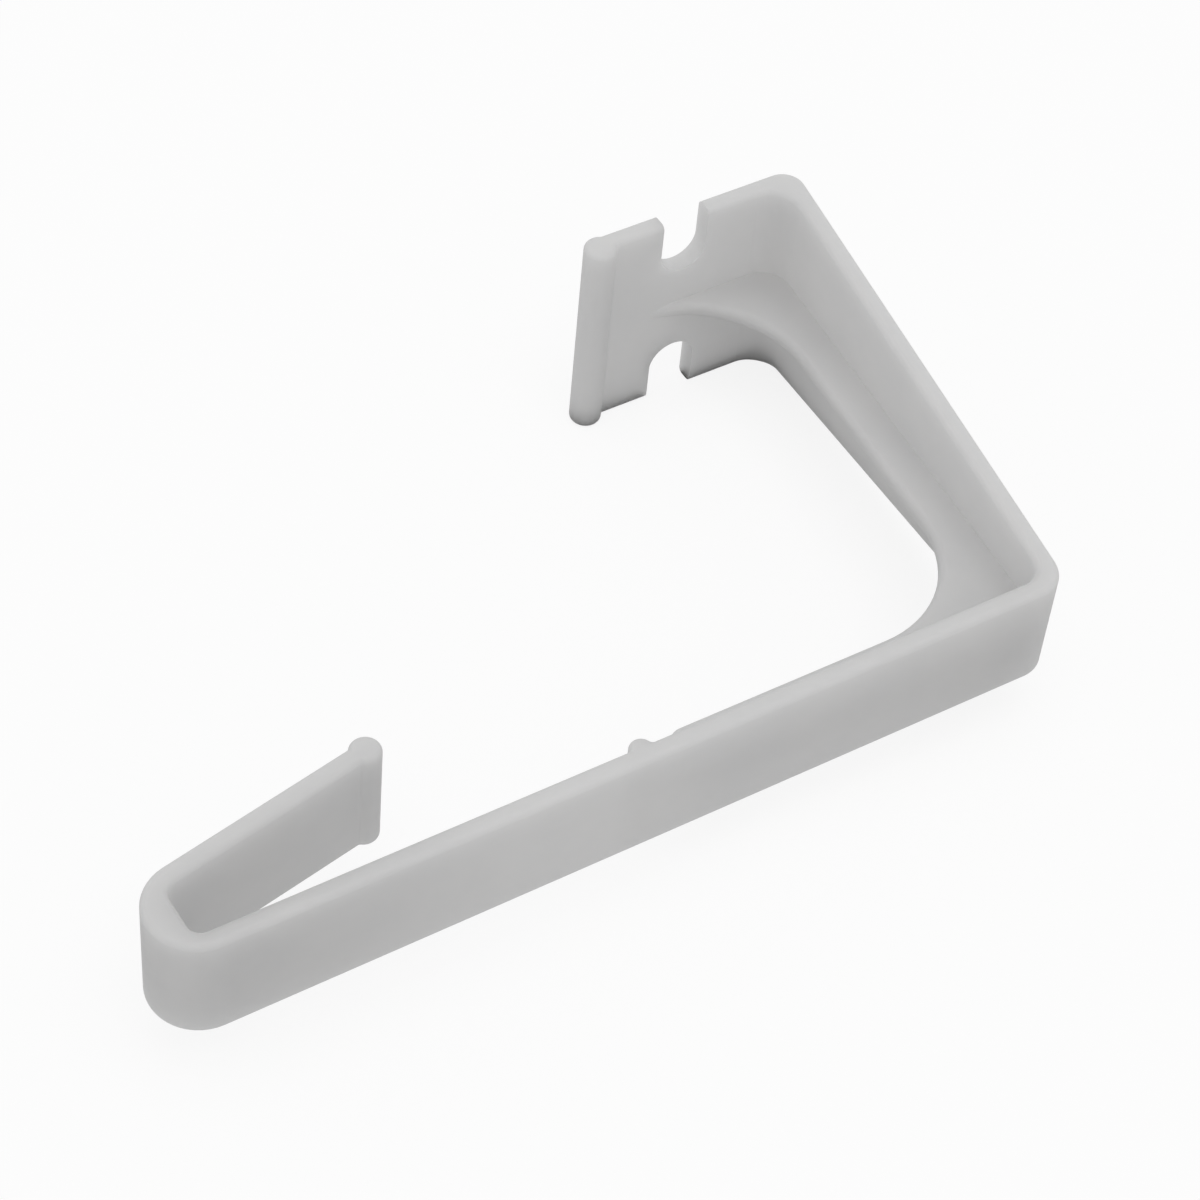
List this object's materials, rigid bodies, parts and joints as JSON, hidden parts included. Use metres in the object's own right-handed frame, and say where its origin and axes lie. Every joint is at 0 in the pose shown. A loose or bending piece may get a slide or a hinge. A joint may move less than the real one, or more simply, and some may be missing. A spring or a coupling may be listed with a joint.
{
  "type": "curtain hold-down clip",
  "caption": "Moulded plastic C-shaped clip: a notched mounting flange, a widening ribbed leg, a long bar and a folded-back spring hook that holds a curtain hem or rod down.",
  "frame": {"origin": "centre of the mounting face of the flange, between its two screw notches, on the middle plane of the strip", "axes": "+X along the bar from the hook to the leg, +Y out of the mounting face towards the wall or frame it is fixed to, +Z along the width of the strip"},
  "size_m": [0.082, 0.0471, 0.0204],
  "materials": {
    "moulded_plastic": "natural milky white moulded plastic, satin, slightly translucent"
  },
  "bodies": {
    "root": {"clip": "moulded_plastic"}
  },
  "joints": []
}
